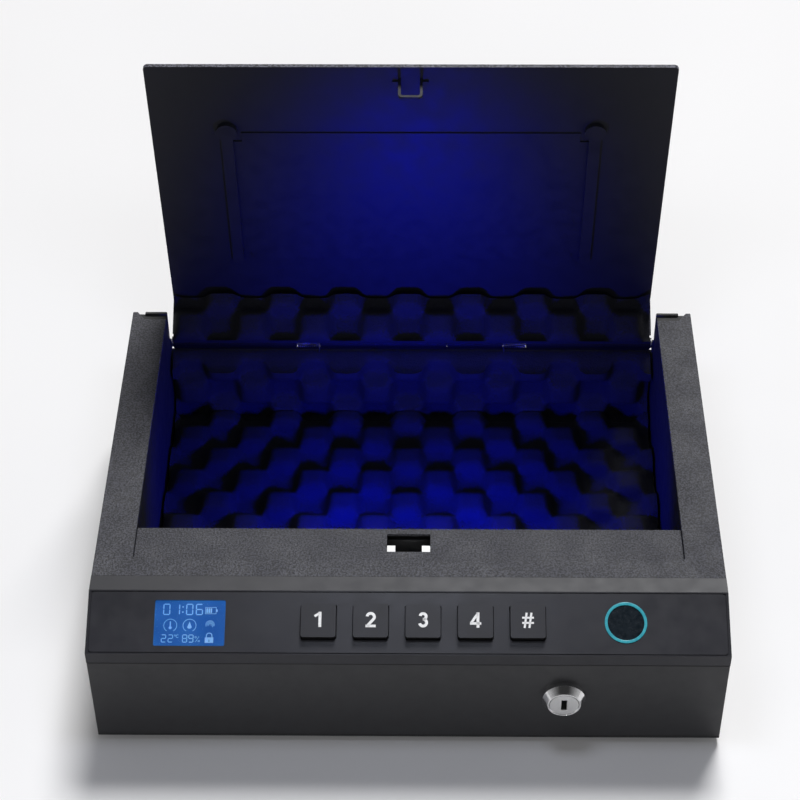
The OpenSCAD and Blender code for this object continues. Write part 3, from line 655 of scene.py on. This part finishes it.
def draw_two(d, h, t):
    bow = 1.75
    centre = h - bow - t / 2
    d.arc(0, centre, bow, t, 172, -38)
    d.stroke([(0.8 * bow, centre - 0.6 * bow), (-1.75, 0.35 * t)], t)
    d.bar(-2.45, 0, 2.45, 0.92 * t)


def draw_three(d, h, t):
    upper, lower = 1.45, 1.68
    d.arc(0, h - upper - t / 2, upper, t, 168, -95)
    d.arc(0, lower + t / 2, lower, t, 95, -168)


def draw_four(d, h, t):
    beam = 1.5
    d.bar(0.45, 0, 0.45 + t, h)
    d.bar(-2.65, beam, 2.75, beam + 0.88 * t)
    d.stroke([(-2.1, beam + 0.6 * t), (0.45 + t / 2, h - 0.3 * t)], 0.85 * t)


def draw_hash(d, h, t):
    lean = 0.55
    for x in (-1.15, 1.15):
        d.stroke([(x - lean, 0), (x + lean, h)], 0.72 * t)
    for y in (0.33 * h, 0.67 * h):
        d.bar(-2.8, y - 0.34 * t, 2.8, y + 0.34 * t)


LEGENDS = {"key_1": draw_one, "key_2": draw_two, "key_3": draw_three, "key_4": draw_four,
           "key_hash": draw_hash}


def legend(node, draw, ink):
    """Prints a key's character in the middle of its face."""
    d = Drawing(LEGEND_INK)
    draw(d, LEGEND_H, LEGEND_STROKE)
    face = reach(node, PANEL_OUT)[1] - PANEL_TOP
    corner = on_panel(node, face) - PANEL_UP * LEGEND_H * MM / 2
    piece = d.finish(f"{node}_legend", corner, ink, f"{node}_cap")


def legends():
    ink = white_ink()
    for node, draw in LEGENDS.items():
        legend(node, draw, ink)


legends()

# ---- what the display shows ----


def draw_clock(d):
    base, height, width, stroke = 15.4, 5.7, 3.5, 0.55
    for figure, x in (("0", 4.0), ("1", 8.7), ("0", 15.1), ("6", 19.8)):
        d.digit(figure, x, base, width, height, stroke)
    for y in (base + 1.5, base + 4.1):
        d.disc(13.6, y, 0.38)


def draw_battery(d):
    x0, x1, y0, y1, line = 24.4, 29.8, 16.0, 19.4, 0.25
    d.bar(x0, y0, x1, y0 + line)
    d.bar(x0, y1 - line, x1, y1)
    d.bar(x0, y0 + line, x0 + line, y1 - line)
    d.bar(x1 - line, y0 + line, x1, y1 - line)
    d.bar(x1, y0 + 1.1, x1 + 0.6, y1 - 1.1)
    for i in range(3):
        d.bar(x0 + 0.55 + i, y0 + 0.55, x0 + 1.3 + i, y1 - 0.55)


def draw_dial(d, x, y):
    """The open ring round a weather symbol."""
    d.arc(x, y, 3.15, 0.28, -60, 240)


def draw_thermometer(d, x, y):
    draw_dial(d, x, y)
    d.bar(x - 0.3, y - 0.5, x + 0.3, y + 2.0)
    d.disc(x, y - 1.15, 0.75)


def draw_drop(d, x, y):
    draw_dial(d, x, y)
    belly = [math.radians(200 + 140 * i / 12) for i in range(13)]
    d.shape([(x, y + 1.9)] + [(x + 1.2 * math.cos(a), y - 0.4 + 1.2 * math.sin(a)) for a in belly])


def draw_fingerprint(d, x, y):
    for i, (start, end) in enumerate(((-40, 200), (-25, 215), (-50, 190), (-20, 205))):
        d.arc(x, y, 0.55 + 0.5 * i, 0.22, start, end, count=16)


def draw_climate(d):
    base, height, width, stroke = 1.7, 4.0, 2.5, 0.42
    for figure, x in (("2", 3.6), ("2", 6.9), ("8", 13.8), ("9", 16.8)):
        d.digit(figure, x, base, width, height, stroke)
    d.arc(10.25, base + height - 0.45, 0.35, 0.18, count=12)
    d.arc(11.5, base + height - 0.85, 0.68, 0.24, 50, 310, count=14)
    d.arc(20.3, base + 2.7, 0.4, 0.2, count=12)
    d.arc(21.9, base + 0.75, 0.4, 0.2, count=12)
    d.stroke([(20.3, base + 0.3), (21.9, base + 3.1)], 0.22)


def draw_padlock(d, x, y):
    half, top, slot, head, bow, band = 2.05, 2.7, 0.2, 1.6, 1.35, 0.42
    d.arc(x, y + 3.5, bow, band, 0, 180, count=16)
    for side in (-bow, bow):
        d.bar(x + side - band / 2, y + top, x + side + band / 2, y + 3.5)
    d.bar(x - half, y, x - slot, y + top)
    d.bar(x + slot, y, x + half, y + top)
    d.bar(x - slot, y, x + slot, y + 0.5)
    d.bar(x - slot, y + head, x + slot, y + top)


FIGURE_INK = 0.03 * MM
UNDER_WINDOW = 0.045 * MM        # from the window's underside down to the back of the figures


def display_figures():
    """All that the display shows, laid just under its window."""
    d = Drawing(FIGURE_INK)
    draw_clock(d)
    draw_battery(d)
    draw_thermometer(d, 7.8, 10.2)
    draw_drop(d, 17.1, 10.2)
    draw_fingerprint(d, 27.0, 10.6)
    draw_climate(d)
    draw_padlock(d, 26.8, 1.6)
    left, low, under = (reach("display_window", way)[0] for way in (X_AXIS, PANEL_UP, PANEL_OUT))
    corner = X_AXIS * left + PANEL_UP * low + PANEL_OUT * (under - UNDER_WINDOW)
    piece = d.finish("display_figures", corner, display_ink(), "case")


display_figures()

# ---- camera, floor and light ----


CAMERA_PLACE = (0.0088, -0.7708, 0.8431)
CAMERA_TURNS = (-1.0, 43.06, -0.49)      # degrees: to the right, down and rolled
CAMERA_LENS = 94.7                       # millimetres, as is the sensor
CAMERA_SENSOR = 36
FLOOR_SIZE = 60
FLOOR_GAP = 0.3 * MM                     # keeps the floor clear of the pad's underside
BLUE = (0.001, 0.008, 1.0)


def camera():
    """Looks down at the open safe from the front, a little to one side."""
    data = bpy.data.cameras.new("camera")
    data.lens = CAMERA_LENS
    data.sensor_width = CAMERA_SENSOR
    yaw, down, roll = (math.radians(a) for a in CAMERA_TURNS)
    forward = Vector((math.sin(yaw) * math.cos(down), math.cos(yaw) * math.cos(down), -math.sin(down)))
    level = Vector((math.cos(yaw), -math.sin(yaw), 0))
    upright = level.cross(forward)
    right = level * math.cos(roll) + upright * math.sin(roll)
    top = upright * math.cos(roll) - level * math.sin(roll)
    obj = bpy.data.objects.new("camera", data)
    obj.matrix_world = (Matrix.Translation(CAMERA_PLACE)
                        @ Matrix((right, top, -forward)).transposed().to_4x4())
    bpy.context.scene.collection.objects.link(obj)
    bpy.context.scene.camera = obj


def floor():
    """A wide pale floor."""
    bpy.ops.mesh.primitive_plane_add(size=FLOOR_SIZE, location=(0, 0, -FLOOR_GAP))
    plane = bpy.context.object
    plane.name = "floor"
    f = Finish("floor", Specular_IOR_Level=0.2)
    f.colour(f.noise(0.4, detail=2), (0.86, 0.855, 0.86), (0.88, 0.875, 0.88))
    f.rough(f.noise(0.1), 0.5, 0.6)
    paint(plane, f)


def aim(obj, target):
    """Turns a light to face a point."""
    obj.rotation_euler = (Vector(target) - obj.location).to_track_quat("-Z", "Y").to_euler()


def add_light(name, data, place, target):
    """Places a light that the camera can't see."""
    obj = bpy.data.objects.new(name, data)
    obj.location = place
    aim(obj, target)
    obj.visible_camera = False
    bpy.context.scene.collection.objects.link(obj)
    return obj


def softbox(name, place, target, size, power, colour=(1, 1, 1)):
    """A rectangular light of a size in metres and a power in watts."""
    data = bpy.data.lights.new(name, "AREA")
    data.shape = "RECTANGLE"
    data.size, data.size_y = size
    data.energy = power
    data.color = colour
    return add_light(name, data, place, target)


def flag(light, nodes):
    """Keeps a light off some CAD nodes, as a black card in front of it does."""
    shaded = bpy.data.collections.new(f"{light.name}_flag")
    for node in nodes:
        shaded.objects.link(NODES[node])
    for entry in shaded.collection_objects:
        entry.light_linking.link_state = "EXCLUDE"
    light.light_linking.receiver_collection = shaded


def glow(name, place, target, power, cone):
    """One share of the light that the blue lamp inside the safe throws, in a cone of so many degrees."""
    data = bpy.data.lights.new(name, "SPOT")
    data.energy = power
    data.color = BLUE
    data.spot_size = math.radians(cone)
    data.spot_blend = 1.0
    data.shadow_soft_size = 9 * MM       # small enough to stay under the closed lid
    add_light(name, data, place, target)


def surround():
    """A studio that is bright at the level of the safe and dim overhead."""
    world = bpy.data.worlds.new("studio")
    world.use_nodes = True
    nodes, links = world.node_tree.nodes, world.node_tree.links
    background = nodes["Background"]
    background.inputs["Color"].default_value = (0.98, 0.98, 1.0, 1)
    split = nodes.new("ShaderNodeSeparateXYZ")
    links.new(nodes.new("ShaderNodeTexCoord").outputs["Generated"], split.inputs["Vector"])
    fade = nodes.new("ShaderNodeMapRange")
    fade.inputs["From Max"].default_value = 0.8
    fade.inputs["To Min"].default_value = 0.6
    fade.inputs["To Max"].default_value = 0.04
    links.new(split.outputs["Z"], fade.inputs["Value"])
    links.new(fade.outputs["Result"], background.inputs["Strength"])
    bpy.context.scene.world = world


def lamps():
    """The blue light of the lens, thrown on the lid, through the whole compartment, down and sideways."""
    lens_low, lens_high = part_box("interior_light")
    off_lens, spread = 3 * MM, 20 * MM
    lamp = Vector((0, lens_high.y + off_lens, (lens_low.z + lens_high.z) / 2))
    lid_low, lid_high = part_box("lid_stiffener")
    low_on_lid = 0.9 * lid_low.z + 0.1 * lid_high.z
    glow("lamp_on_lid", lamp, (0, lid_low.y, low_on_lid), 4.6, 80)
    glow("lamp_in_safe", lamp, (0, HINGE.y, 0), 0.7, 170)
    glow("lamp_on_floor", lamp, (0, -0.02, 0), 5.0, 140)
    for side, name in ((-1, "lamp_to_left"), (1, "lamp_to_right")):
        glow(name, lamp + X_AXIS * side * spread, (side * 0.1, 0.05, 0), 2.6, 100)


def lights():
    """A high light from behind and a weak one over the panel and in front."""
    softbox("key", (0.9, 3.4, 6.2), (0, 0, 0), (2.1, 2.1), 480)
    overhead = softbox("overhead", (0.0, -0.11, 0.5), (0.0, -0.11, 0), (0.12, 0.08), 0.3,
                       (0.8, 0.85, 1.0))
    flag(overhead, ["lock_barrel", "lock_plug"])
    softbox("front", (0, -1.5, 0.68), (0, -0.1, 0.06), (0.5, 0.12), 3.0)


camera()
floor()
surround()
lamps()
lights()
bpy.context.scene.view_settings.view_transform = "Standard"

bpy.context.view_layer.update()
